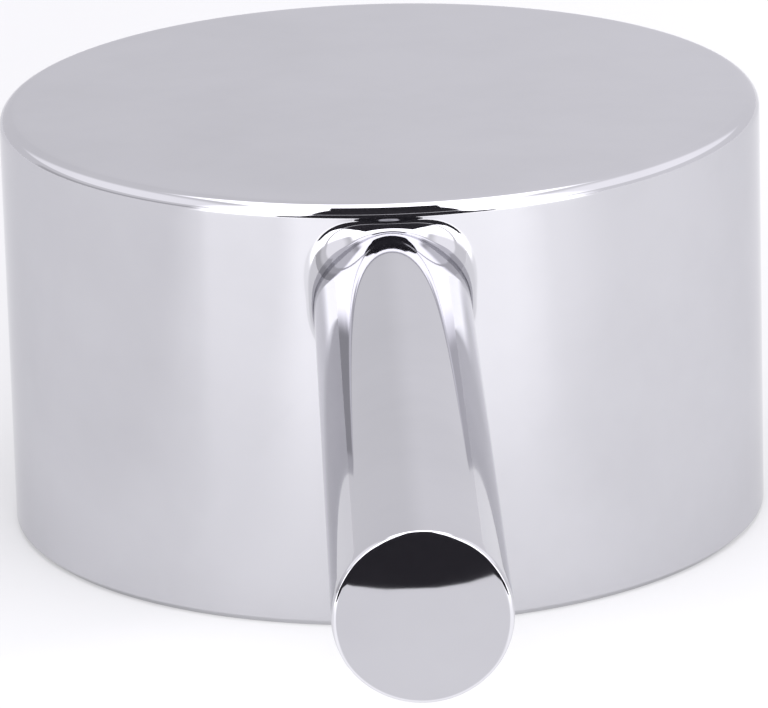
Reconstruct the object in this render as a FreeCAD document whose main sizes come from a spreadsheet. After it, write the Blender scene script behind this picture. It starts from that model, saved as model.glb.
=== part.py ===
"""Replacement tap handle: a cast cap with a pin lever, clamped to its spindle by a grub screw.

The cap's axis is Z and its rim lies on Z = 0, open side down. The lever points along -Y.
"""

import FreeCAD, Part
import math
import os
import re

import Sketcher
from FreeCAD import Vector

# Driving dimensions, in millimetres.
SIZES = {
    "cap_diameter": 50.0,
    "cap_height": 28.0,
    "top_edge_round": 0.9,
    "rim_edge_bevel": 0.4,
    "skirt_wall": 2.6,
    "skirt_draft": 0.4,
    "skirt_lead_in": 0.5,
    "crown_thickness": 3.0,
    "crown_inner_bevel": 1.5,
    "lever_reach": 83.0,
    "lever_drop": 1.7,
    "lever_root_diameter": 9.9,
    "lever_tip_diameter": 10.1,
    "lever_tip_crown": 0.15,
    "lever_tip_round": 0.5,
    "lever_blend": 0.6,
    "boss_wall": 2.7,
    "boss_draft": 0.4,
    "boss_recess": 8.0,
    "boss_edge_bevel": 0.6,
    "socket_width": 8.0,
    "socket_clearance": 0.1,
    "socket_depth": 14.0,
    "socket_lead_in": 0.5,
    "rib_thickness": 2.0,
    "rib_depth": 10.0,
    "screw_diameter": 5.0,
    "screw_clearance": 0.05,
    "screw_length": 8.0,
    "screw_setback": 0.3,
    "screw_end_chamfer": 0.5,
    "screw_point_chamfer": 1.0,
    "screw_cup_depth": 0.6,
    "key_width": 2.5,
    "key_depth": 3.0,
    "tube_wall": 2.0,
    "tube_inset": 0.5,
    "thread_runout": 1.7,
    "access_clearance": 0.3,
    "access_edge_round": 0.3,
}

# How far a cutting outline reaches past the surface that it opens.
CUT_MARGIN = 1.0
# How near a point of an edge lies to the surface or circle that the edge is on.
ON_SURFACE = 0.01
# How many points along an edge are looked at.
EDGE_SAMPLES = 9
# How far a domed side stands out at first, as a share of its chord, before its centre is held.
FIRST_BULGE = 0.01

START, END, CENTRE = 1, 2, 3
ORIGIN, ACROSS_AXIS = -1, -1

# Places worked out from the driving dimensions.
CAP_RADIUS = "(cap_diameter / 2)"
CROWN_UNDERSIDE = "(cap_height - crown_thickness)"
INSIDE_CROWN = "(cap_height - crown_thickness / 2)"
INSIDE_SKIRT = "((cap_diameter - skirt_wall) / 2)"
SKIRT_BORE = "(cap_diameter / 2 - skirt_wall)"
SKIRT_BORE_TOP = f"({SKIRT_BORE} - skirt_draft)"
LEVER_HEIGHT = "(cap_height - lever_drop - lever_root_diameter / 2)"
LEVER_SHOULDER = "(lever_tip_crown - lever_reach)"
SOCKET_HALF = "(socket_width / 2 + socket_clearance)"
BOSS_FOOT = f"(sqrt(2) * {SOCKET_HALF} + boss_wall)"
BOSS_ROOT = f"({BOSS_FOOT} + boss_draft)"
TUBE_DIAMETER = "(screw_diameter + 2 * tube_wall)"
SCREW_HEIGHT = f"(boss_recess + tube_inset + {TUBE_DIAMETER} / 2)"
SCREW_POINT = f"({SOCKET_HALF} + screw_setback)"
SCREW_END = f"({SCREW_POINT} + screw_length)"
SCREW_RADIUS = "(screw_diameter / 2 - screw_clearance)"
THREAD_END = f"({SCREW_END} + thread_runout)"


def on_sheet(text):
    """An expression with every size's name pointing at its cell on the sheet."""
    return re.sub(r"[a-z_]+", lambda word: f"sizes.{word[0]}" if word[0] in SIZES else word[0], text)


def worth(text):
    """The number that an expression comes to, to draw near a place and to find edges there."""
    numbers = re.sub(r"[a-z_]+", lambda word: str(SIZES.get(word[0], word[0])), text)
    return FreeCAD.Units.Quantity(numbers).Value


def make_sheet(doc):
    sheet = doc.addObject("Spreadsheet::Sheet", "sizes")
    for row, (name, value) in enumerate(SIZES.items(), start=1):
        sheet.set(f"A{row}", name)
        sheet.set(f"B{row}", str(value))
        sheet.setAlias(f"B{row}", name)
    doc.recompute()


def add_body(doc, name):
    body = doc.addObject("PartDesign::Body", name)
    body.Label = name
    body.Placement = FreeCAD.Placement()
    return body


def add_sketch(body, name, plane, **shifts):
    """A sketch on one of the body's own origin planes, moved along its own axes by expressions."""
    sketch = body.newObject("Sketcher::SketchObject", name)
    planes = {feature.Role: feature for feature in body.Origin.OriginFeatures}
    sketch.AttachmentSupport = [(planes[plane], "")]
    sketch.MapMode = "FlatFace"
    for axis, distance in shifts.items():
        sketch.setExpression(f"AttachmentOffset.Base.{axis}", on_sheet(distance))
    return sketch


def hold(sketch, kind, where, size):
    """Adds a dimension to the sketch and ties it to the sheet."""
    index = sketch.addConstraint(Sketcher.Constraint(kind, *where, worth(size)))
    sketch.setExpression(f"Constraints[{index}]", on_sheet(size))


def draw_outline(sketch, corners, domed_side=None):
    """A closed outline through corners given as (across, up) expressions.

    The side numbered domed_side is an arc with its centre on the sketch's own across axis.
    """
    count = len(corners)
    points = [Vector(worth(across), worth(up), 0) for across, up in corners]
    for side, begin in enumerate(points):
        end = points[(side + 1) % count]
        if side == domed_side:
            chord = end - begin
            outward = Vector(-chord.y, chord.x, 0) * FIRST_BULGE
            sketch.addGeometry(Part.Arc(end, (begin + end) / 2 + outward, begin))
        else:
            sketch.addGeometry(Part.LineSegment(begin, end))
    for corner, (across, up) in enumerate(corners):
        before = (corner - 1) % count
        leaving = END if corner == domed_side else START
        arriving = START if before == domed_side else END
        sketch.addConstraint(Sketcher.Constraint("Coincident", before, arriving, corner, leaving))
        hold(sketch, "DistanceX", (ORIGIN, START, corner, leaving), across)
        hold(sketch, "DistanceY", (ORIGIN, START, corner, leaving), up)
    if domed_side is not None:
        sketch.addConstraint(Sketcher.Constraint("PointOnObject", domed_side, CENTRE, ACROSS_AXIS))


def draw_circle(sketch, diameter):
    sketch.addGeometry(Part.Circle(Vector(), Vector(0, 0, 1), worth(diameter) / 2))
    sketch.addConstraint(Sketcher.Constraint("Coincident", 0, CENTRE, ORIGIN, START))
    hold(sketch, "Diameter", (0,), diameter)


def turn(body, kind, sketch, axis, name):
    """A Revolution or Groove of the sketch, all the way round one of its axes."""
    feature = body.newObject(f"PartDesign::{kind}", name)
    feature.Profile = sketch
    feature.ReferenceAxis = (sketch, [axis])
    feature.Angle = 360.0
    body.Document.recompute()


def push(body, kind, sketch, length, name, reverse=False):
    """A Pad or Pocket of the sketch with its length on the sheet."""
    feature = body.newObject(f"PartDesign::{kind}", name)
    feature.Profile = sketch
    feature.Reversed = reverse
    feature.setExpression("Length", on_sheet(length))
    body.Document.recompute()


def dress(body, kind, name, size, is_wanted):
    """A Fillet or Chamfer on each edge of the body so far that is_wanted picks."""
    base = body.Tip
    edges = [
        f"Edge{number}"
        for number, edge in enumerate(base.Shape.Edges, start=1)
        if not edge.Degenerated and is_wanted(edge.discretize(EDGE_SAMPLES))
    ]
    if not edges:
        raise RuntimeError(f"{name} finds no edge")
    feature = body.newObject(f"PartDesign::{kind}", name)
    feature.Base = (base, edges)
    feature.setExpression("Radius" if kind == "Fillet" else "Size", on_sheet(size))
    body.Document.recompute()


def circle_about_z(height, *radii):
    """Picks each circle about the cap's axis at this height and of one of these radii."""
    level, wanted = worth(height), [worth(radius) for radius in radii]

    def is_wanted(points):
        return all(abs(point.z - level) < ON_SURFACE for point in points) and any(
            all(abs(math.hypot(point.x, point.y) - radius) < ON_SURFACE for point in points)
            for radius in wanted
        )
    return is_wanted


def curve_on_wall(side):
    """Picks a curve across the cap's outside that lies on one side along Y (-1 front, 1 back)."""
    radius = worth(CAP_RADIUS)

    def is_wanted(points):
        on_wall = all(abs(math.hypot(point.x, point.y) - radius) < ON_SURFACE for point in points)
        spread = max(point.x for point in points) - min(point.x for point in points)
        return on_wall and spread > ON_SURFACE and all(point.y * side > 0 for point in points)
    return is_wanted


def make_cap(body):
    """The turned outside of the cap, solid for now."""
    sketch = add_sketch(body, "cap_section", "XZ_Plane")
    draw_outline(sketch, [
        ("0", "0"),
        ("0", "cap_height"),
        (CAP_RADIUS, "cap_height"),
        (CAP_RADIUS, "0"),
    ])
    turn(body, "Revolution", sketch, "V_Axis", "cap")


def make_lever(body):
    """The pin lever: a slightly flared round bar with a crowned end, blended into the wall."""
    sketch = add_sketch(body, "lever_section", "YZ_Plane", y=LEVER_HEIGHT)
    draw_outline(sketch, [
        (f"-{SKIRT_BORE}", "0"),
        ("-lever_reach", "0"),
        (LEVER_SHOULDER, "lever_tip_diameter / 2"),
        (f"-{SKIRT_BORE}", "lever_root_diameter / 2"),
    ], domed_side=1)
    turn(body, "Revolution", sketch, "H_Axis", "lever")
    shoulder = worth(LEVER_SHOULDER)
    dress(body, "Fillet", "lever_root", "lever_blend", curve_on_wall(-1))
    dress(
        body, "Fillet", "lever_tip", "lever_tip_round",
        lambda points: all(abs(point.y - shoulder) < ON_SURFACE for point in points),
    )


def make_outer_edges(body):
    dress(body, "Fillet", "top_edge", "top_edge_round", circle_about_z("cap_height", CAP_RADIUS))
    dress(body, "Chamfer", "rim_edge", "rim_edge_bevel", circle_about_z("0", CAP_RADIUS))


def make_hollow(body):
    """The open underside: a drafted skirt round a central boss that hangs from the crown."""
    sketch = add_sketch(body, "hollow_section", "XZ_Plane")
    draw_outline(sketch, [
        ("0", f"-{CUT_MARGIN}"),
        ("0", "boss_recess"),
        (BOSS_FOOT, "boss_recess"),
        (BOSS_ROOT, CROWN_UNDERSIDE),
        (SKIRT_BORE_TOP, CROWN_UNDERSIDE),
        (SKIRT_BORE, "skirt_lead_in"),
        (f"{SKIRT_BORE} + skirt_lead_in + {CUT_MARGIN}", f"-{CUT_MARGIN}"),
    ])
    turn(body, "Groove", sketch, "V_Axis", "hollow")
    dress(
        body, "Chamfer", "crown_corners", "crown_inner_bevel",
        circle_about_z(CROWN_UNDERSIDE, BOSS_ROOT, SKIRT_BORE_TOP),
    )
    dress(body, "Chamfer", "boss_edge", "boss_edge_bevel", circle_about_z("boss_recess", BOSS_FOOT))


def make_ribs(body):
    """Four webs under the crown, from the boss to the skirt."""
    sketch = add_sketch(body, "rib_plan", "XY_Plane", z=INSIDE_CROWN)
    half = "rib_thickness / 2"
    corner = [(half, INSIDE_SKIRT), (half, half), (INSIDE_SKIRT, half)]
    outline = list(corner)
    outline += [(across, f"-{up}") for across, up in reversed(corner)]
    outline += [(f"-{across}", f"-{up}") for across, up in corner]
    outline += [(f"-{across}", up) for across, up in reversed(corner)]
    draw_outline(sketch, outline)
    push(body, "Pad", sketch, "rib_depth + crown_thickness / 2", "ribs", reverse=True)


def make_screw_tube(body):
    """The round passage that carries the grub screw from the boss to the back wall."""
    sketch = add_sketch(body, "tube_section", "XZ_Plane", y=SCREW_HEIGHT)
    draw_circle(sketch, TUBE_DIAMETER)
    push(body, "Pad", sketch, INSIDE_SKIRT, "screw_tube", reverse=True)


def make_socket(body):
    """The square hole for the spindle, with a lead-in at its mouth."""
    sketch = add_sketch(body, "socket_plan", "XY_Plane", z="boss_recess")
    draw_outline(sketch, [
        (SOCKET_HALF, SOCKET_HALF),
        (SOCKET_HALF, f"-{SOCKET_HALF}"),
        (f"-{SOCKET_HALF}", f"-{SOCKET_HALF}"),
        (f"-{SOCKET_HALF}", SOCKET_HALF),
    ])
    push(body, "Pocket", sketch, "socket_depth", "spindle_socket", reverse=True)
    mouth, half = worth("boss_recess"), worth(SOCKET_HALF)

    def is_mouth(points):
        return all(
            abs(point.z - mouth) < ON_SURFACE
            and abs(max(abs(point.x), abs(point.y)) - half) < ON_SURFACE
            for point in points
        )
    dress(body, "Chamfer", "socket_mouth", "socket_lead_in", is_mouth)


def make_screw_hole(body):
    """The threaded hole into the socket, and the wider way in for the key from the back."""
    thread = add_sketch(body, "thread_section", "XZ_Plane", y=SCREW_HEIGHT)
    draw_circle(thread, "screw_diameter")
    push(body, "Pocket", thread, CAP_RADIUS, "thread_hole")
    access = add_sketch(body, "access_section", "XZ_Plane", y=SCREW_HEIGHT, z=f"-{THREAD_END}")
    draw_circle(access, "screw_diameter + 2 * access_clearance")
    push(body, "Pocket", access, CAP_RADIUS, "access_hole")
    dress(body, "Fillet", "access_edge", "access_edge_round", curve_on_wall(1))


def make_handle(doc):
    body = add_body(doc, "handle")
    make_cap(body)
    make_lever(body)
    make_outer_edges(body)
    make_hollow(body)
    make_ribs(body)
    make_screw_tube(body)
    make_socket(body)
    make_screw_hole(body)
    return body


def make_grub_screw(doc):
    """A cup-point grub screw with a hexagon socket in its outer end."""
    body = add_body(doc, "grub_screw")
    section = add_sketch(body, "screw_section", "YZ_Plane", y=SCREW_HEIGHT)
    draw_outline(section, [
        (f"{SCREW_POINT} + screw_cup_depth", "0"),
        (SCREW_POINT, f"{SCREW_RADIUS} - screw_point_chamfer"),
        (f"{SCREW_POINT} + screw_point_chamfer", SCREW_RADIUS),
        (f"{SCREW_END} - screw_end_chamfer", SCREW_RADIUS),
        (SCREW_END, f"{SCREW_RADIUS} - screw_end_chamfer"),
        (SCREW_END, "0"),
    ])
    turn(body, "Revolution", section, "H_Axis", "screw")
    key = add_sketch(body, "key_section", "XZ_Plane", y=SCREW_HEIGHT, z=f"-{SCREW_END}")
    corner = "key_width / sqrt(3)"
    draw_outline(key, [
        (f"{corner} * cos({-60 * k})", f"{corner} * sin({-60 * k})") for k in range(6)
    ])
    push(body, "Pocket", key, "key_depth", "key_socket", reverse=True)
    return body


def check(doc, bodies):
    """Stops if any object of the document failed or any body is not one valid solid."""
    failed = [item.Name for item in doc.Objects if {"Invalid", "Error"} & set(item.State)]
    if failed:
        raise RuntimeError(f"not built: {failed}")
    for body in bodies:
        if body.Shape.isNull() or not body.Shape.isValid() or len(body.Shape.Solids) != 1:
            raise RuntimeError(f"{body.Label} is not one valid solid")


def main():
    doc = FreeCAD.newDocument("tap_handle")
    make_sheet(doc)
    bodies = [make_handle(doc), make_grub_screw(doc)]
    doc.recompute()
    check(doc, bodies)
    os.makedirs("parts", exist_ok=True)
    for body in bodies:
        body.Shape.exportStep(f"parts/{body.Label}.step")
        print(body.Label, "volume", round(body.Shape.Volume, 1), "mm3")


main()
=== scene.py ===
"""A chromed single-lever tap handle with its grub screw, on a pale studio floor."""

import math

import bmesh
import bpy
from bpy.props import FloatProperty, FloatVectorProperty, PointerProperty
from mathutils import Matrix, Vector


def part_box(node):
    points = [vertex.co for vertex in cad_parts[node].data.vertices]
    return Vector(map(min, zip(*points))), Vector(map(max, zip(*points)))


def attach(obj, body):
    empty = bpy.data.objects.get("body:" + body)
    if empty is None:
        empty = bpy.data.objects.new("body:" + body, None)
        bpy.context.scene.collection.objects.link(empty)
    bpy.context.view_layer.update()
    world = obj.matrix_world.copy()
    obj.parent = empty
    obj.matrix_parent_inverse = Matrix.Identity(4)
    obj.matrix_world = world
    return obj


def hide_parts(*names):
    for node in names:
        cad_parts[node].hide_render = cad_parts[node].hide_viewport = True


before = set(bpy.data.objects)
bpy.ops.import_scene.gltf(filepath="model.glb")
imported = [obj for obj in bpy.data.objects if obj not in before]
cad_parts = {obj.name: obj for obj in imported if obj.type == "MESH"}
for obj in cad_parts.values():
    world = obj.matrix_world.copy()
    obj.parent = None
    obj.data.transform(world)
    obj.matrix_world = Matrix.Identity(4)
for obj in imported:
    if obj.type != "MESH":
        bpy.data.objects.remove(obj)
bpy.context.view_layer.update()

bl_info = {
    "name": "Tap handle",
    "version": (1, 0, 0),
    "blender": (4, 5, 0),
    "location": "3D View > Sidebar > Tap handle",
    "description": "Models a chromed tap handle, its grub screw and a small pale studio",
    "category": "Add Mesh",
}

HANDLE_LOW, HANDLE_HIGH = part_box("handle")
SCREW_LOW, SCREW_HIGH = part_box("grub_screw")

MM = 0.001
WELD = 1e-7
NODE_WELD = 1e-6
SHARP = math.radians(30.0)
FRAME_WIDTH = 36.0

# How finely the handle is divided: the cap round and up its wall, the windows in it, and its rounded edges.
ACROSS = 240
WALL_ROWS = 40
TOP_EDGE_ROWS = 12
HALF_LEVER_WINDOW = 15
LEVER_WINDOW_ROW = 16
HALF_HOLE_WINDOW = 7
HOLE_WINDOW_ROWS = (12, 26)
BLEND_ROWS = 20
TIP_EDGE_ROWS = 12
HOLE_EDGE_ROWS = 8

# Where rings of edges lie, as portions of the way over each form.
OVER_TOP = (0.985, 0.5)
TO_BLEND = (0.3, 0.58, 0.82, 0.94, 1.0)
ALONG_LEVER = (
    0.01, 0.03, 0.06, 0.1, 0.15, 0.2, 0.28, 0.36, 0.44, 0.52, 0.6, 0.68, 0.76, 0.84, 0.92, 0.98, 1.0,
)
OVER_TIP = (0.97, 0.9, 0.8, 0.65, 0.5, 0.35, 0.2, 0.08)
TO_HOLE = (0.35, 0.7, 0.92, 1.0)
DOWN_HOLE = (0.1, 0.4, 1.0)
RING_LAYERS = ("turn", "along", "height")
BALL_ROUNDS = 6

# How deep a face of the handle's node may lie under the cap's outside and still belong to it.
WALL_SKIN = 1.3 * MM
CROWN_SKIN = 1.5 * MM

# The screw: steps in a turn of its thread, turns beyond its length, turns that start below its point, and
# cuts in each side of its socket.
THREAD_STEPS = 36
SPARE_TURNS = 2
EARLY_TURNS = 1.5
KEY_CUTS = 5


def length(name, description, default):
    """A property that holds a length in metres."""
    return FloatProperty(name=name, description=description, default=default, unit="LENGTH", precision=5)


def share(name, description, default):
    """A property that holds a share from nothing to all."""
    return FloatProperty(
        name=name, description=description, default=default, min=0.0, max=1.0, subtype="FACTOR"
    )


def colour(name, description, default):
    """A property that holds a colour."""
    return FloatVectorProperty(
        name=name, description=description, default=default, size=4, min=0.0, max=1.0, subtype="COLOR"
    )


def level(name, description, default):
    """A property that holds a brightness, 1 for white."""
    return FloatProperty(name=name, description=description, default=default, min=0.0)


def angle(name, description, default):
    """A property that holds an angle, given here in degrees."""
    return FloatProperty(
        name=name, description=description, default=math.radians(default), subtype="ANGLE", unit="ROTATION"
    )


class HandleSizes(bpy.types.PropertyGroup):
    """Sizes of the cast handle."""

    cap_radius: length("Cap radius", "Outside radius of the round cap", HANDLE_HIGH[0])
    cap_height: length("Cap height", "Height of the cap above its rim", HANDLE_HIGH[2])
    top_round: length("Top round", "Radius of the cap's top edge", 0.9 * MM)
    rim_bevel: length("Rim bevel", "Width of the bevel round the rim", 0.4 * MM)
    lever_reach: length("Lever reach", "From the cap's axis to the lever's end", -HANDLE_LOW[1])
    lever_height: length("Lever height", "Height of the lever's axis above the rim", 21.35 * MM)
    lever_root: length("Lever root", "Where the lever's taper starts, from the cap's axis", 22.4 * MM)
    root_radius: length("Root radius", "Radius of the lever where its taper starts", 4.95 * MM)
    tip_radius: length("Tip radius", "Radius of the lever at its end", 5.05 * MM)
    tip_crown: length("Tip crown", "How far the lever's end is domed", 0.15 * MM)
    tip_round: length("Tip round", "Radius of the edge of the lever's end", 0.3 * MM)
    lever_blend: length("Lever blend", "Radius of the blend from the wall into the lever", 0.6 * MM)
    lever_flare: length("Lever flare", "How much the blend widens on the lever's shoulders", 1.2 * MM)
    hole_height: length("Hole height", "Height of the key hole's axis above the rim", 13.0 * MM)
    hole_radius: length("Hole radius", "Radius of the key hole at the back", 2.8 * MM)
    hole_round: length("Hole round", "Radius of the key hole's edge", 0.3 * MM)
    hole_mouth: length("Hole mouth", "Inner end of the key hole's round, from the cap's axis", 24.4 * MM)
    hole_step: length("Hole step", "Where the key hole narrows to the thread, from the cap's axis", 14.1 * MM)


class ScrewSizes(bpy.types.PropertyGroup):
    """Sizes of the grub screw."""

    inner_end: length("Inner end", "The screw's point, from the cap's axis", SCREW_LOW[1])
    outer_end: length("Outer end", "The screw's driven end, from the cap's axis", SCREW_HIGH[1])
    axis_height: length(
        "Axis height", "Height of the screw above the rim", 0.5 * (SCREW_LOW[2] + SCREW_HIGH[2])
    )
    radius: length("Radius", "Radius over the thread", SCREW_HIGH[0])
    pitch: length("Pitch", "From one turn of the thread to the next", 0.8 * MM)
    thread_depth: length("Thread depth", "From the thread's crest to its root", 0.42 * MM)
    end_chamfer: length("End chamfer", "Chamfer of the driven end", 0.5 * MM)
    point_chamfer: length("Point chamfer", "Chamfer of the point", 1.0 * MM)
    cup_depth: length("Cup depth", "Depth of the hollow in the point", 0.6 * MM)
    key_width: length("Key width", "Width of the hexagon socket across its flats", 2.5 * MM)
    key_depth: length("Key depth", "Depth of the hexagon socket", 3.0 * MM)
    key_cone: length("Key cone", "How far the socket's floor dips to its middle", 0.25 * MM)
    cup_width: share("Cup width", "Width of the cup as a share of the point's face", 0.82)


class Finishes(bpy.types.PropertyGroup):
    """Colours and gloss of the handle and its screw."""

    chrome: colour("Chrome", "Colour of the polished plating", (0.62, 0.617, 0.645, 1.0))
    chrome_haze: colour("Chrome haze", "Colour of the plating's dull places", (0.59, 0.587, 0.614, 1.0))
    chrome_edge: colour("Chrome edge", "Tint of the plating seen edge on", (0.86, 0.86, 0.87, 1.0))
    chrome_gloss: share("Chrome roughness", "Roughness of the polished plating", 0.02)
    casting: colour("Casting", "Colour of the unpolished plated inside", (0.36, 0.36, 0.37, 1.0))
    casting_grain: colour("Casting grain", "Colour of the low places of the inside", (0.24, 0.24, 0.25, 1.0))
    steel: colour("Steel", "Colour of the screw", (0.12, 0.12, 0.125, 1.0))
    steel_crest: colour("Steel crest", "Colour of the screw's rubbed places", (0.34, 0.34, 0.345, 1.0))


class Studio(bpy.types.PropertyGroup):
    """The camera, the floor and the light round the handle."""

    eye: FloatVectorProperty(
        name="Eye",
        description="Where the camera stands",
        default=(-8.70 * MM, -444.0 * MM, 151.2 * MM),
        subtype="XYZ",
        unit="LENGTH",
    )
    heading: angle("Heading", "The camera's turn from straight ahead", 1.105)
    pitch: angle("Pitch", "How far the camera looks down", 17.604)
    roll: angle("Roll", "The camera's lean", -1.632)
    lens: FloatProperty(
        name="Lens", description="Focal length for a 36 mm frame", default=328.1, unit="CAMERA"
    )
    floor: colour("Floor", "Colour of the floor", (0.427, 0.427, 0.429, 1.0))
    floor_shade: colour("Floor shade", "Colour of the floor's faint clouds", (0.407, 0.407, 0.411, 1.0))
    # The floor's glows are painted light: the floor gives off light though it is no lamp, most of it in front
    # of the cap.
    floor_glow: level("Floor glow", "Light that comes through the whole floor", 0.2)
    front_glow: level("Front glow", "More of it in front of the cap", 0.48)
    far_glow: level("Far glow", "More still, further out in front", 1.2)
    sky: level("Sky", "Brightness of the white room on the left", 0.85)
    sky_right: level("Right sky", "Brightness of the white room on the right", 0.945)
    panel: level("Panel", "Brightness of the room's soft panels", 2.8)
    gap: level("Gap", "Brightness of the gap low on the left", 0.58)
    backdrop: level("Backdrop", "Brightness of the room as the camera sees it", 1.1)
    card: colour("Card", "Colour of the black cards", (0.025, 0.024, 0.028, 1.0))
    card_weave: colour("Card weave", "Colour of the cards' paler threads", (0.034, 0.032, 0.037, 1.0))
    near_card: length("Near card", "From the cap's axis to the low card", 153.0 * MM)
    far_card: length("Far card", "From the cap's axis to the high card", 800.0 * MM)


class Shade:
    """An output socket of a node tree. Python's operators on it add Math nodes."""

    def __init__(self, tree, socket=None):
        self.tree = tree
        self.socket = socket

    def node(self, kind, settings, inputs, output=0):
        """Adds a node of a kind: its settings first, then the values or links of its sockets."""
        made = self.tree.nodes.new(kind)
        for name, value in settings.items():
            if name == "stops":
                fill_ramp(made.color_ramp, value)
            else:
                setattr(made, name, value)
        for name, value in inputs.items():
            if isinstance(value, Shade):
                self.tree.links.new(value.socket, made.inputs[name])
            else:
                made.inputs[name].default_value = value
        return Shade(self.tree, made.outputs[output] if made.outputs else None)

    def maths(self, operation, first, second):
        """Adds one Math node."""
        return self.node("ShaderNodeMath", {"operation": operation}, {0: first, 1: second})

    def __add__(self, other):
        return self.maths("ADD", self, other)

    def __radd__(self, other):
        return self.maths("ADD", other, self)

    def __sub__(self, other):
        return self.maths("SUBTRACT", self, other)

    def __rsub__(self, other):
        return self.maths("SUBTRACT", other, self)

    def __mul__(self, other):
        return self.maths("MULTIPLY", self, other)

    def __rmul__(self, other):
        return self.maths("MULTIPLY", other, self)


def fill_ramp(ramp, stops):
    """Sets a ramp's stops, each a place and a grey."""
    while len(ramp.elements) < len(stops):
        ramp.elements.new(0.5)
    for element, (place, grey) in zip(ramp.elements, stops):
        element.position = place
        element.color = (grey, grey, grey, 1.0)


def new_material(name):
    """A material with an empty node tree, and a start for its nodes."""
    material = bpy.data.materials.new(name)
    material.use_nodes = True
    material.node_tree.nodes.clear()
    return material, Shade(material.node_tree)


def finish_material(start, sockets):
    """Joins a Principled shader with these sockets to the material's output."""
    surface = start.node("ShaderNodeBsdfPrincipled", {}, sockets)
    start.node("ShaderNodeOutputMaterial", {}, {"Surface": surface})


def cloud(start, scale, detail, stretch=(1.0, 1.0, 1.0)):
    """Noise over the piece, this many patches to the metre."""
    where = start.node("ShaderNodeTexCoord", {}, {}, "Object")
    turned = start.node("ShaderNodeMapping", {}, {"Vector": where, "Scale": stretch})
    sockets = {"Vector": turned, "Scale": scale, "Detail": detail, "Roughness": 0.6}
    return start.node("ShaderNodeTexNoise", {}, sockets)


def between(start, value, none, full):
    """A soft step that is 0 at none and before it, and 1 at full and past it."""
    return start.node(
        "ShaderNodeMapRange",
        {"interpolation_type": "SMOOTHSTEP"},
        {"Value": value, "From Min": none, "From Max": full, "To Min": 0.0, "To Max": 1.0},
    )


def one_axis(start, where, axis):
    """One of a vector's three parts."""
    return start.node("ShaderNodeSeparateXYZ", {}, {"Vector": where}, axis)


def past(edge, x, y):
    """How far a place lies beyond a line through the middle that faces this way."""
    return edge[0] * x + edge[1] * y


def mixed(start, factor, first, second):
    """A colour between two others."""
    return start.node("ShaderNodeMix", {"data_type": "RGBA"}, {0: factor, 6: first, 7: second}, 2)


def chrome_plate(finishes):
    """Polished chrome: a mirror with a faint haze and a slight swell from the buffing wheel."""
    material, start = new_material("chrome_plate")
    haze = cloud(start, scale=70.0, detail=4.0)
    rub = cloud(start, scale=900.0, detail=2.0, stretch=(1.0, 1.0, 0.08))
    patch = start.node("ShaderNodeValToRGB", {"stops": ((0.42, 0.0), (0.68, 1.0))}, {"Fac": haze})
    swell = cloud(start, scale=95.0, detail=1.0)
    wave = start.node("ShaderNodeBump", {}, {"Strength": 1.0, "Distance": 6e-6, "Height": swell})
    finish_material(
        start,
        {
            "Base Color": mixed(start, patch, tuple(finishes.chrome), tuple(finishes.chrome_haze)),
            "Metallic": 1.0,
            "Roughness": finishes.chrome_gloss + 0.02 * patch + 0.01 * rub,
            "Specular Tint": tuple(finishes.chrome_edge),
            "Normal": wave,
        },
    )
    return material


def plated_casting(finishes):
    """The inside of the cap: plated over the bare casting, dull and a little grainy."""
    material, start = new_material("plated_casting")
    grain = cloud(start, scale=1600.0, detail=3.0)
    flow = cloud(start, scale=120.0, detail=3.0)
    bump = start.node("ShaderNodeBump", {}, {"Strength": 0.35, "Distance": 4e-5, "Height": grain})
    finish_material(
        start,
        {
            "Base Color": mixed(start, flow, tuple(finishes.casting_grain), tuple(finishes.casting)),
            "Metallic": 1.0,
            "Roughness": 0.32 + 0.2 * flow + 0.08 * grain,
            "Normal": bump,
        },
    )
    return material


def black_steel(finishes):
    """Blackened steel, rubbed bright here and there."""
    material, start = new_material("black_steel")
    rub = cloud(start, scale=900.0, detail=4.0)
    bright = start.node("ShaderNodeValToRGB", {"stops": ((0.48, 0.0), (0.72, 1.0))}, {"Fac": rub})
    bump = start.node("ShaderNodeBump", {}, {"Strength": 0.25, "Distance": 1e-5, "Height": rub})
    finish_material(
        start,
        {
            "Base Color": mixed(start, bright, tuple(finishes.steel), tuple(finishes.steel_crest)),
            "Metallic": 1.0,
            "Roughness": 0.46 - 0.14 * bright,
            "Normal": bump,
        },
    )
    return material


# Which way the lit front's left and right edges face, in x and y, on the floor and in the room.
LEFT_EDGE = (0.576, -0.817)
RIGHT_EDGE = (-0.5, -0.866)

# Where each part of the floor's glow starts and where it is full, in metres.
LEFT_START = 0.0115
LEFT_SOFT = (-0.026, 0.004)
LEFT_CRISP = (-0.006, 0.001)
RIGHT_SOFT = (-0.012, 0.034)
OFF_WALL = (0.03, 0.1)
FAR_OUT = (0.125, 0.25)
BY_CAP = (0.06, 0.03)
RIGHT_SIDE = (-0.03, 0.06)
BEFORE_CAP = (0.04, -0.02)
LANE_SIDES = (0.03, 0.015)
LANE_START = (0.088, 0.104)
BY_LEVER = (0.012, -0.01)

# The share of the glow that each part has, or that it has left where it is weakest.
CRISP_EDGE = 0.25
AT_WALL = 0.45
IN_OPEN = 0.57
BEHIND_CAP = 0.7
ON_RIGHT = 0.26
ROUND_CAP = 0.08

# How the glow beside the lever leans to the right, and how it widens further out.
LEVER_LEAN = 0.25
LEVER_SPREAD = 0.6


def grown(least, share):
    """A share that is no smaller than its least."""
    return least + (1.0 - least) * share


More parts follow.
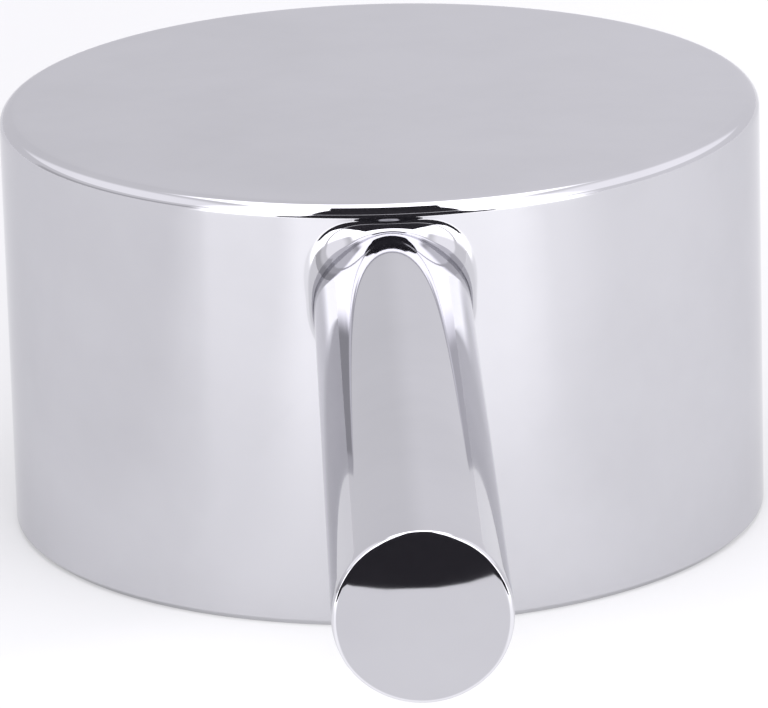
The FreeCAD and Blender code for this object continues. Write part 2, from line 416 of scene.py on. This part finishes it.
def pale_floor(studio):
    """A white, softly clouded floor that glows though it is no lamp: painted light, most of it in front of
    the cap.
    """
    material, start = new_material("pale_floor")
    clouds = cloud(start, scale=6.0, detail=3.0)
    where = start.node("ShaderNodeTexCoord", {}, {}, "Object")
    x = one_axis(start, where, "X")
    y = one_axis(start, where, "Y")
    reach = start.node("ShaderNodeVectorMath", {"operation": "LENGTH"}, {0: where}, "Value")
    aside = start.maths("ABSOLUTE", x, 0.0)
    # Painted light: these masks make a pool of glow in a sector in front of the cap, crisp on its left edge
    # and soft on its right, dimmer by the wall and in a lane ahead of the lever's end.
    from_left = past(LEFT_EDGE, x, y) - LEFT_START
    left = (1.0 - CRISP_EDGE) * between(start, from_left, *LEFT_SOFT)
    left = left + CRISP_EDGE * between(start, from_left, *LEFT_CRISP)
    right = between(start, past(RIGHT_EDGE, x, y), *RIGHT_SOFT)
    lane = between(start, aside, *LANE_SIDES) * between(start, -1.0 * y, *LANE_START)
    front = left * right * (1.0 - lane)
    near = grown(AT_WALL, between(start, reach, *OFF_WALL))
    near = near * grown(IN_OPEN, between(start, aside - LEVER_LEAN * x + LEVER_SPREAD * y, *BY_LEVER))
    # More painted light: some on the right of the cap and weaker behind it, a little right round the cap that
    # lifts its contact shadow, and more further out in front.
    on_right = between(start, x, *RIGHT_SIDE) * grown(BEHIND_CAP, between(start, y, *BEFORE_CAP))
    lit = front * near + ON_RIGHT * on_right * (1.0 - front) + ROUND_CAP * between(start, reach, *BY_CAP)
    more = studio.front_glow + studio.far_glow
    far = front * between(start, reach, *FAR_OUT)
    lit = (studio.front_glow / more) * lit + (studio.far_glow / more) * far
    least = studio.floor_glow / (studio.floor_glow + more)
    finish_material(
        start,
        {
            "Base Color": mixed(start, clouds, tuple(studio.floor), tuple(studio.floor_shade)),
            "Roughness": 0.7 + 0.1 * clouds,
            "Specular IOR Level": 0.1,
            # Painted light: the floor's emission, from the masks above.
            "Emission Color": mixed(start, lit, (least, least, least, 1.0), (1.0, 1.0, 1.0, 1.0)),
            "Emission Strength": studio.floor_glow + more,
        },
    )
    return material


def black_card(studio):
    """A matt black card that takes no light."""
    material, start = new_material("black_card")
    weave = cloud(start, scale=300.0, detail=2.0)
    finish_material(
        start,
        {
            "Base Color": mixed(start, weave, tuple(studio.card), tuple(studio.card_weave)),
            "Roughness": 0.8 + 0.1 * weave,
            "Specular IOR Level": 0.0,
        },
    )
    return material


def add_object(name, bm, materials):
    """Makes an object of a finished bmesh, smooth but for its sharp edges."""
    mesh = bpy.data.meshes.new(name)
    for face in bm.faces:
        face.smooth = True
    bm.to_mesh(mesh)
    bm.free()
    for material in materials:
        mesh.materials.append(material)
    mesh.set_sharp_from_angle(angle=SHARP)
    made = bpy.data.objects.new(name, mesh)
    bpy.context.scene.collection.objects.link(made)
    return made


def vertices_of(made):
    """The vertices among what an operator returns."""
    return [item for item in made if isinstance(item, bmesh.types.BMVert)]


def edges_of(made):
    """The edges among what an operator returns."""
    return [item for item in made if isinstance(item, bmesh.types.BMEdge)]


def chain(bm, places):
    """A few vertices joined in a row."""
    verts = [bm.verts.new(place) for place in places]
    edges = [bm.edges.new(pair) for pair in zip(verts, verts[1:])]
    return verts, edges


def turn_cap(bm, sizes):
    """Turns the cap's outside from its outline: rim bevel, wall, rounded top edge, flat top."""
    inner = sizes.cap_radius - sizes.top_round
    shoulder = sizes.cap_height - sizes.top_round
    foot = (0.0, sizes.rim_bevel - sizes.cap_radius, 0.0)
    low = (0.0, -sizes.cap_radius, sizes.rim_bevel)
    high = (0.0, -sizes.cap_radius, shoulder)
    verts, edges = chain(bm, (foot, low, high))
    arc = bmesh.ops.spin(
        bm,
        geom=verts[2:],
        cent=(0.0, -inner, shoulder),
        axis=(-1.0, 0.0, 0.0),
        angle=0.5 * math.pi,
        steps=TOP_EDGE_ROWS,
    )
    last = vertices_of(arc["geom_last"])[0]
    top, _ = chain(bm, [(0.0, -portion * inner, sizes.cap_height) for portion in OVER_TOP])
    middle = bm.verts.new((0.0, 0.0, sizes.cap_height))
    bm.edges.new((last, top[0]))
    bm.edges.new((top[1], middle))
    bmesh.ops.subdivide_edges(bm, edges=edges[1:], cuts=WALL_ROWS - 1)
    bmesh.ops.spin(
        bm,
        geom=bm.verts[:] + bm.edges[:],
        cent=(0.0, 0.0, 0.0),
        axis=(0.0, 0.0, 1.0),
        angle=math.tau,
        steps=ACROSS,
        use_merge=True,
    )
    bmesh.ops.remove_doubles(bm, verts=bm.verts, dist=WELD)


def open_window(bm, sizes, side, half, low_row, high_row):
    """Takes a window out of the cap's wall, front (side -1) or back (side 1), and returns its edges."""
    pitch = (sizes.cap_height - sizes.top_round - sizes.rim_bevel) / WALL_ROWS
    low = sizes.rim_bevel + low_row * pitch
    high = sizes.rim_bevel + high_row * pitch
    reach = half * math.tau / ACROSS
    taken = []
    for face in bm.faces:
        middle = face.calc_center_median()
        if low < middle.z < high and abs(math.atan2(middle.x, side * middle.y)) < reach:
            taken.append(face)
    bmesh.ops.delete(bm, geom=taken, context="FACES")
    return [
        edge
        for edge in bm.edges
        if edge.is_boundary
        and max(vert.co.z for vert in edge.verts) > NODE_WELD
        and side * edge.verts[0].co.y > 0.0
    ]


def number_window(bm, window, sizes, side):
    """Gives each vertex of a window its even turn round the window, and its place on the unrolled wall."""
    layers = bm.verts.layers.float
    turn, along, height = [layers.get(name) or layers.new(name) for name in RING_LAYERS]
    corners = {vert for edge in window for vert in edge.verts}
    for vert in corners:
        vert[along] = sizes.cap_radius * math.atan2(vert.co.x, side * vert.co.y)
        vert[height] = vert.co.z
    middle = 0.5 * (min(vert.co.z for vert in corners) + max(vert.co.z for vert in corners))
    # A vertex in the very middle counts as one with a negative x.
    nudge = 0.01 * WELD
    order = sorted(corners, key=lambda vert: math.atan2(vert[along] - nudge, middle - vert[height]))
    for place, vert in enumerate(order):
        vert[turn] = math.tau * (place + 1) / len(order) - 0.75 * math.tau
    return turn, along, height


def extrude_ring(bm, ring, place):
    """Extrudes a ring of edges, sets each new vertex where place says, and returns the new ring."""
    made = bmesh.ops.extrude_edge_only(bm, edges=ring)["geom"]
    for vert in vertices_of(made):
        vert.co = place(vert)
    return [edge for edge in edges_of(made) if edge.is_boundary]


def close_ring(bm, ring, place):
    """Extrudes a ring of edges to one point."""
    made = bmesh.ops.extrude_edge_only(bm, edges=ring)["geom"]
    bmesh.ops.pointmerge(bm, verts=vertices_of(made), merge_co=place)


def on_wall(sizes, side, along, height):
    """A point of the cap's wall from its place on the unrolled wall."""
    turn = along / sizes.cap_radius
    return Vector((sizes.cap_radius * math.sin(turn), side * sizes.cap_radius * math.cos(turn), height))


def taper(sizes):
    """How much the lever's radius grows with each metre of reach."""
    reach = sizes.lever_reach - sizes.tip_crown - sizes.lever_root
    return (sizes.tip_radius - sizes.root_radius) / reach


def lever_radius(sizes, y):
    """The lever's radius at a place along it."""
    return sizes.root_radius + taper(sizes) * (-sizes.lever_root - y)


def blend_radius(sizes, turn):
    """The blend's radius at a turn round the lever, widest on the lever's two shoulders."""
    rise = max(math.sin(turn), 0.0)
    # This is 0 at the lever's sides and on top of it, and 1 at the most between them.
    shoulder = 27.0 / 4.0 * rise**2 * (1.0 - rise)
    return sizes.lever_blend + sizes.lever_flare * shoulder


def blend_ball(sizes, turn):
    """The blend's rolling ball at a turn round the lever: its middle, radius, and ways to wall and lever."""
    radius = blend_radius(sizes, turn)
    lean = math.atan(taper(sizes))
    normal = Vector((math.cos(turn) * math.cos(lean), math.sin(lean), math.sin(turn) * math.cos(lean)))
    y = -sizes.cap_radius
    for _ in range(BALL_ROUNDS):
        across = lever_radius(sizes, y) + radius * math.cos(lean)
        x = across * math.cos(turn)
        middle_y = -math.sqrt((sizes.cap_radius + radius) ** 2 - x * x)
        y = middle_y - radius * math.sin(lean)
    middle = Vector((x, middle_y, sizes.lever_height + across * math.sin(turn)))
    to_wall = -Vector((middle.x, middle.y, 0.0)).normalized()
    return middle, radius, to_wall, -normal


def hole_ball(sizes, turn):
    """The ball in the key hole's rounded edge at a turn: its middle, radius, and ways to wall and hole."""
    across = sizes.hole_radius + sizes.hole_round
    x = across * math.cos(turn)
    y = math.sqrt((sizes.cap_radius - sizes.hole_round) ** 2 - x * x)
    middle = Vector((x, y, sizes.hole_height + across * math.sin(turn)))
    to_wall = Vector((x, y, 0.0)).normalized()
    return middle, sizes.hole_round, to_wall, Vector((-math.cos(turn), 0.0, -math.sin(turn)))


def fill_window(bm, window, layers, sizes, side, ball, portions, rows):
    """Fills a window along the wall to where a rolling ball touches it, and on round the ball."""
    turn, along, height = layers

    def on_to_foot(portion):
        def place(vert):
            middle, radius, to_wall, _ = ball(sizes, vert[turn])
            foot = middle + radius * to_wall
            foot_along = sizes.cap_radius * math.atan2(foot.x, side * foot.y)
            return on_wall(
                sizes,
                side,
                vert[along] + portion * (foot_along - vert[along]),
                vert[height] + portion * (foot.z - vert[height]),
            )

        return place

    def round_ball(portion):
        def place(vert):
            middle, radius, to_wall, onward = ball(sizes, vert[turn])
            return middle + radius * to_wall.slerp(onward, portion)

        return place

    ring = window
    for portion in portions:
        ring = extrude_ring(bm, ring, on_to_foot(portion))
    for row in range(rows):
        ring = extrude_ring(bm, ring, round_ball((row + 1) / rows))
    return ring


def grow_lever(bm, window, sizes):
    """Fills the front window with the wall, the blend and the lever, ring by ring to the lever's end."""
    layers = number_window(bm, window, sizes, -1)
    turn = layers[0]
    ring = fill_window(bm, window, layers, sizes, -1, blend_ball, TO_BLEND, BLEND_ROWS)

    def around(vert, y, across):
        return Vector((across * math.cos(vert[turn]), y, sizes.lever_height + across * math.sin(vert[turn])))

    def shaft(portion, end):
        def place(vert):
            middle, radius, _, to_lever = blend_ball(sizes, vert[turn])
            start = (middle + radius * to_lever).y
            y = start + portion * (end - start)
            return around(vert, y, lever_radius(sizes, y))

        return place

    def tip(y, across):
        return lambda vert: around(vert, y, across)

    dome = (sizes.tip_radius**2 + sizes.tip_crown**2) / (2.0 * sizes.tip_crown)
    dome_y = dome - sizes.lever_reach
    edge_across = sizes.tip_radius - sizes.tip_round
    edge_y = dome_y - math.sqrt((dome - sizes.tip_round) ** 2 - edge_across**2)
    for portion in ALONG_LEVER:
        ring = extrude_ring(bm, ring, shaft(portion, edge_y))
    end_turn = math.acos(edge_across / (dome - sizes.tip_round))
    for row in range(TIP_EDGE_ROWS):
        bend = end_turn * (row + 1) / TIP_EDGE_ROWS
        across = edge_across + sizes.tip_round * math.cos(bend)
        ring = extrude_ring(bm, ring, tip(edge_y - sizes.tip_round * math.sin(bend), across))
    face_across = across
    for portion in OVER_TIP:
        across = face_across * portion
        ring = extrude_ring(bm, ring, tip(dome_y - math.sqrt(dome**2 - across**2), across))
    close_ring(bm, ring, Vector((0.0, -sizes.lever_reach, sizes.lever_height)))


def sink_hole(bm, window, sizes):
    """Fills the back window with the wall, the key hole's rounded edge and the hole down to its step."""
    layers = number_window(bm, window, sizes, 1)
    turn = layers[0]
    ring = fill_window(bm, window, layers, sizes, 1, hole_ball, TO_HOLE, HOLE_EDGE_ROWS)

    def bore(y):
        def place(vert):
            x = sizes.hole_radius * math.cos(vert[turn])
            return Vector((x, y, sizes.hole_height + sizes.hole_radius * math.sin(vert[turn])))

        return place

    for portion in DOWN_HOLE:
        ring = extrude_ring(bm, ring, bore(sizes.hole_mouth + portion * (sizes.hole_step - sizes.hole_mouth)))


def is_outside(face, sizes):
    """Whether a face of the casting is polished skin, its rim, or the key hole down to its step."""
    middle = face.calc_center_median()
    if math.hypot(middle.x, middle.y) > sizes.cap_radius - WALL_SKIN:
        return True
    if middle.z > sizes.cap_height - CROWN_SKIN:
        return True
    if max(vert.co.z for vert in face.verts) < WELD:
        return True
    if min(vert.co.y for vert in face.verts) < sizes.hole_step - WELD:
        return False
    across = max(math.hypot(vert.co.x, vert.co.z - sizes.hole_height) for vert in face.verts)
    return across < sizes.hole_radius + WELD


def add_inside(bm, node, sizes):
    """Adds the casting's inside, copied from its node and cut free of the outside."""
    inside = bmesh.new()
    inside.from_mesh(node.data)
    bmesh.ops.remove_doubles(inside, verts=inside.verts, dist=NODE_WELD)
    outside = [face for face in inside.faces if is_outside(face, sizes)]
    bmesh.ops.delete(inside, geom=outside, context="FACES")
    for face in inside.faces:
        face.material_index = 1
    shell = bpy.data.meshes.new("inside")
    inside.to_mesh(shell)
    inside.free()
    shell.attributes.remove(shell.attributes["custom_normal"])
    bm.from_mesh(shell)
    bpy.data.meshes.remove(shell)


def fill_between(bm, belongs):
    """Fills the flat ring between the two open rings of edges that belong."""
    rings = [edge for edge in bm.edges if edge.is_boundary and all(belongs(vert.co) for vert in edge.verts)]
    bmesh.ops.triangle_fill(bm, use_beauty=True, edges=rings)


class TAPHANDLE_OT_make_handle(bpy.types.Operator):
    """Model the chromed handle: cap, lever, key hole and the casting's inside"""

    bl_idname = "taphandle.make_handle"
    bl_label = "Make handle"

    def execute(self, context):
        sizes = context.scene.tap_handle_sizes
        finishes = context.scene.tap_handle_finishes
        bm = bmesh.new()
        turn_cap(bm, sizes)
        front = open_window(bm, sizes, -1, HALF_LEVER_WINDOW, LEVER_WINDOW_ROW, WALL_ROWS)
        grow_lever(bm, front, sizes)
        back = open_window(bm, sizes, 1, HALF_HOLE_WINDOW, *HOLE_WINDOW_ROWS)
        sink_hole(bm, back, sizes)
        add_inside(bm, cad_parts["handle"], sizes)
        fill_between(bm, lambda place: place.z < WELD)
        fill_between(bm, lambda place: place.z > WELD)
        if any(not edge.is_manifold for edge in bm.edges):
            raise RuntimeError("the handle's skin isn't closed")
        for name in RING_LAYERS:
            bm.verts.layers.float.remove(bm.verts.layers.float[name])
        bmesh.ops.recalc_face_normals(bm, faces=bm.faces)
        made = add_object("handle_body", bm, (chrome_plate(finishes), plated_casting(finishes)))
        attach(made, "root")
        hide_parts("handle")
        return {"FINISHED"}


def cut_thread(bm, sizes):
    """Winds the screw's thread round Z, from below its point to above its driven end."""
    root = sizes.radius - sizes.thread_depth
    turns = math.ceil((sizes.outer_end - sizes.inner_end) / sizes.pitch) + SPARE_TURNS
    # Each corner of the ridge has a radius and a share of the pitch.
    ridge = ((root, 0.0), (sizes.radius, 0.36), (sizes.radius, 0.52), (root, 0.88), (root, 1.0))
    places = [(across, 0.0, sizes.inner_end + (rise - EARLY_TURNS) * sizes.pitch) for across, rise in ridge]
    verts, edges = chain(bm, places)
    bmesh.ops.spin(
        bm,
        geom=verts + edges,
        cent=(0.0, 0.0, 0.0),
        axis=(0.0, 0.0, 1.0),
        dvec=(0.0, 0.0, sizes.pitch / THREAD_STEPS),
        angle=math.tau * turns,
        steps=THREAD_STEPS * turns,
    )
    bmesh.ops.remove_doubles(bm, verts=bm.verts, dist=NODE_WELD)


def trim_end(bm, height, upwards):
    """Cuts the thread off square and returns the edge that is left."""
    cut = bmesh.ops.bisect_plane(
        bm,
        geom=bm.verts[:] + bm.edges[:] + bm.faces[:],
        dist=0.1 * WELD,
        plane_co=(0.0, 0.0, height),
        plane_no=(0.0, 0.0, 1.0 if upwards else -1.0),
        clear_outer=True,
    )
    return edges_of(cut["geom_cut"])


def chamfer_ends(bm, sizes):
    """Turns both ends of the thread down to their chamfers."""
    for vert in bm.verts:
        across = math.hypot(vert.co.x, vert.co.y)
        driven = sizes.radius - sizes.end_chamfer + (sizes.outer_end - vert.co.z)
        point = sizes.radius - sizes.point_chamfer + (vert.co.z - sizes.inner_end)
        limit = min(across, driven, point)
        vert.co.x *= limit / across
        vert.co.y *= limit / across


def sink_socket(bm, sizes, ring):
    """Closes the driven end with a flat face and the hexagon socket."""
    corner = sizes.key_width / math.sqrt(3.0)
    lift = Matrix.Translation((0.0, 0.0, sizes.outer_end))
    hexagon = bmesh.ops.create_circle(bm, segments=6, radius=corner, matrix=lift)["verts"]
    mouth = list({edge for vert in hexagon for edge in vert.link_edges})
    split = bmesh.ops.subdivide_edges(bm, edges=mouth, cuts=KEY_CUTS)
    mouth = edges_of(split["geom"])
    bmesh.ops.triangle_fill(bm, use_beauty=True, edges=ring + mouth)
    walls = bmesh.ops.extrude_edge_only(bm, edges=mouth)["geom"]
    bmesh.ops.translate(bm, vec=(0.0, 0.0, -sizes.key_depth), verts=vertices_of(walls))
    floor = [edge for edge in edges_of(walls) if edge.is_boundary]
    close_ring(bm, floor, Vector((0.0, 0.0, sizes.outer_end - sizes.key_depth - sizes.key_cone)))


def sink_cup(bm, sizes, ring):
    """Closes the point with a shallow cup."""
    rim = bmesh.ops.extrude_edge_only(bm, edges=ring)["geom"]
    narrow = Matrix.Diagonal((sizes.cup_width, sizes.cup_width, 1.0, 1.0))
    bmesh.ops.transform(bm, matrix=narrow, verts=vertices_of(rim))
    inner = [edge for edge in edges_of(rim) if edge.is_boundary]
    close_ring(bm, inner, Vector((0.0, 0.0, sizes.inner_end + sizes.cup_depth)))


class TAPHANDLE_OT_make_screw(bpy.types.Operator):
    """Model the grub screw: thread, hexagon socket and cup point"""

    bl_idname = "taphandle.make_screw"
    bl_label = "Make grub screw"

    def execute(self, context):
        sizes = context.scene.tap_screw_sizes
        finishes = context.scene.tap_handle_finishes
        bm = bmesh.new()
        cut_thread(bm, sizes)
        driven = trim_end(bm, sizes.outer_end, True)
        point = trim_end(bm, sizes.inner_end, False)
        chamfer_ends(bm, sizes)
        sink_socket(bm, sizes, driven)
        sink_cup(bm, sizes, point)
        if any(not edge.is_manifold for edge in bm.edges):
            raise RuntimeError("the screw's skin isn't closed")
        bmesh.ops.recalc_face_normals(bm, faces=bm.faces)
        lift = Matrix.Translation((0.0, 0.0, sizes.axis_height))
        bmesh.ops.transform(bm, matrix=lift @ Matrix.Rotation(-0.5 * math.pi, 4, "X"), verts=bm.verts)
        made = add_object("grub_screw_thread", bm, (black_steel(finishes),))
        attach(made, "root")
        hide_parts("grub_screw")
        return {"FINISHED"}


# Where each part of the room starts and where it is full, by a way's share aside, ahead or upwards.
GAP_TOP = (0.2, 0.1)
GAP_SIDE = (-0.8, -0.86)
FRONT_LEFT = (-0.1, 0.1)
FRONT_RIGHT = (-0.15, 0.2)
SLOT_FOOT = (0.215, 0.235)
SLOT_TOP = (0.305, 0.285)
OVERHEAD_SIDES = (0.5, 0.36)
OVERHEAD_BACK = (0.4, 0.2)
OVERHEAD_FOOT = (0.3, 0.6)
SIDE_EDGE = (0.5, 0.66)
SIDE_FOOT = (0.29, 0.35)
RIGHT_SKY = (-0.1, 0.1)
SIDE_PANEL = 0.2
SKY_TINT = (1.0, 0.99, 1.035, 1.0)

# Half the black cards' width and the height there, from the foot of each card up, in metres.
LOW_CARD = (
    (0.004, 0.0015),
    (0.009, 0.0021),
    (0.014, 0.0034),
    (0.03, 0.0044),
    (0.085, 0.005),
    (0.092, 0.017),
    (0.066, 0.029),
    (0.054, 0.0585),
)
HIGH_CARD = ((0.32, 0.2495), (0.3025, 1.07), (0.484, 2.65))
FLOOR_RADIUS = 4.0
FLOOR_SIDES = 128


def studio_room(studio):
    """A white room with soft panels and a dark gap low on the left, plain white to the camera."""
    world = bpy.data.worlds.new("studio_room")
    world.use_nodes = True
    world.node_tree.nodes.clear()
    start = Shade(world.node_tree)
    way = start.node("ShaderNodeTexCoord", {}, {}, "Generated")
    across = one_axis(start, way, "X")
    ahead = one_axis(start, way, "Y")
    rise = one_axis(start, way, "Z")
    aside = start.maths("ABSOLUTE", across, 0.0)
    gap = between(start, rise, *GAP_TOP) * between(start, across, *GAP_SIDE)
    slot = between(start, rise, *SLOT_FOOT) * between(start, rise, *SLOT_TOP)
    front = between(start, past(LEFT_EDGE, across, ahead), *FRONT_LEFT) * (1.0 - slot)
    front = front * between(start, past(RIGHT_EDGE, across, ahead), *FRONT_RIGHT)
    overhead = between(start, aside, *OVERHEAD_SIDES) * between(start, ahead, *OVERHEAD_BACK)
    overhead = overhead * between(start, rise, *OVERHEAD_FOOT)
    beside = SIDE_PANEL * between(start, aside, *SIDE_EDGE) * between(start, rise, *SIDE_FOOT)
    panels = 1.0 - (1.0 - front) * (1.0 - overhead) * (1.0 - beside)
    wall = studio.sky + (studio.sky_right - studio.sky) * between(start, across, *RIGHT_SKY)
    lit = wall - (studio.sky - studio.gap) * gap + (studio.panel - wall) * panels
    seen = start.node("ShaderNodeLightPath", {}, {}, "Is Camera Ray")
    strength = lit * (1.0 - seen) + studio.backdrop * seen
    sky = start.node("ShaderNodeBackground", {}, {"Color": SKY_TINT, "Strength": strength})
    start.node("ShaderNodeOutputWorld", {}, {"Surface": sky})
    return world


def lay_floor(studio):
    """Lays the round pale floor."""
    bm = bmesh.new()
    bmesh.ops.create_circle(bm, cap_ends=True, segments=FLOOR_SIDES, radius=FLOOR_RADIUS)
    floor = add_object("floor", bm, (pale_floor(studio),))


def stand_cards(studio):
    """Stands a low black card in front and a high one further off, which show only in the chrome."""
    bm = bmesh.new()
    for away, outline in ((studio.near_card, LOW_CARD), (studio.far_card, HIGH_CARD)):
        right = [bm.verts.new((x, -away, z)) for x, z in outline]
        left = [bm.verts.new((-x, -away, z)) for x, z in reversed(outline)]
        bm.faces.new(right + left)
    card = add_object("front_card", bm, (black_card(studio),))
    card.visible_camera = False
    card.visible_diffuse = False
    card.visible_shadow = False


def aim_camera(context, studio):
    """Sets the camera at the picture's viewpoint."""
    lens = bpy.data.cameras.new("camera")
    lens.lens = studio.lens
    lens.sensor_fit = "HORIZONTAL"
    lens.sensor_width = FRAME_WIDTH
    lens.clip_start = 0.01
    lens.clip_end = 20.0
    level_ahead = Vector((math.sin(studio.heading), math.cos(studio.heading), 0.0))
    ahead = math.cos(studio.pitch) * level_ahead - math.sin(studio.pitch) * Vector((0.0, 0.0, 1.0))
    right = Vector((math.cos(studio.heading), -math.sin(studio.heading), 0.0))
    up = right.cross(ahead)
    across = math.cos(studio.roll) * right + math.sin(studio.roll) * up
    upright = math.cos(studio.roll) * up - math.sin(studio.roll) * right
    camera = bpy.data.objects.new("camera", lens)
    turned = Matrix((across, upright, -ahead)).transposed().to_4x4()
    camera.matrix_world = Matrix.Translation(studio.eye) @ turned
    context.scene.collection.objects.link(camera)
    context.scene.camera = camera


class TAPHANDLE_OT_set_stage(bpy.types.Operator):
    """Set the pale floor, the white room, the black cards and the camera round the handle"""

    bl_idname = "taphandle.set_stage"
    bl_label = "Set stage"

    def execute(self, context):
        studio = context.scene.tap_handle_studio
        context.scene.world = studio_room(studio)
        context.scene.view_settings.view_transform = "Standard"
        lay_floor(studio)
        stand_cards(studio)
        aim_camera(context, studio)
        return {"FINISHED"}


class TAPHANDLE_PT_panel(bpy.types.Panel):
    """The handle's operators and sizes in the sidebar"""

    bl_idname = "TAPHANDLE_PT_panel"
    bl_label = "Tap handle"
    bl_space_type = "VIEW_3D"
    bl_region_type = "UI"
    bl_category = "Tap handle"

    def draw(self, context):
        column = self.layout.column()
        for operator in OPERATORS:
            column.operator(operator.bl_idname)
        for name, group in SETTINGS.items():
            box = self.layout.box()
            for key in group.__annotations__:
                box.prop(getattr(context.scene, name), key)


SETTINGS = {
    "tap_handle_sizes": HandleSizes,
    "tap_screw_sizes": ScrewSizes,
    "tap_handle_finishes": Finishes,
    "tap_handle_studio": Studio,
}
OPERATORS = (TAPHANDLE_OT_make_handle, TAPHANDLE_OT_make_screw, TAPHANDLE_OT_set_stage)


def register():
    """Adds the settings, the operators and the panel to Blender."""
    for group in SETTINGS.values():
        bpy.utils.register_class(group)
    for operator in OPERATORS:
        bpy.utils.register_class(operator)
    bpy.utils.register_class(TAPHANDLE_PT_panel)
    for name, group in SETTINGS.items():
        setattr(bpy.types.Scene, name, PointerProperty(type=group))


def unregister():
    """Takes them out again."""
    for name in SETTINGS:
        delattr(bpy.types.Scene, name)
    bpy.utils.unregister_class(TAPHANDLE_PT_panel)
    for operator in reversed(OPERATORS):
        bpy.utils.unregister_class(operator)
    for group in reversed(SETTINGS.values()):
        bpy.utils.unregister_class(group)


def main():
    """Makes the handle, its screw and the stage."""
    register()
    bpy.ops.taphandle.make_handle()
    bpy.ops.taphandle.make_screw()
    bpy.ops.taphandle.set_stage()


if __name__ == "__main__":
    main()
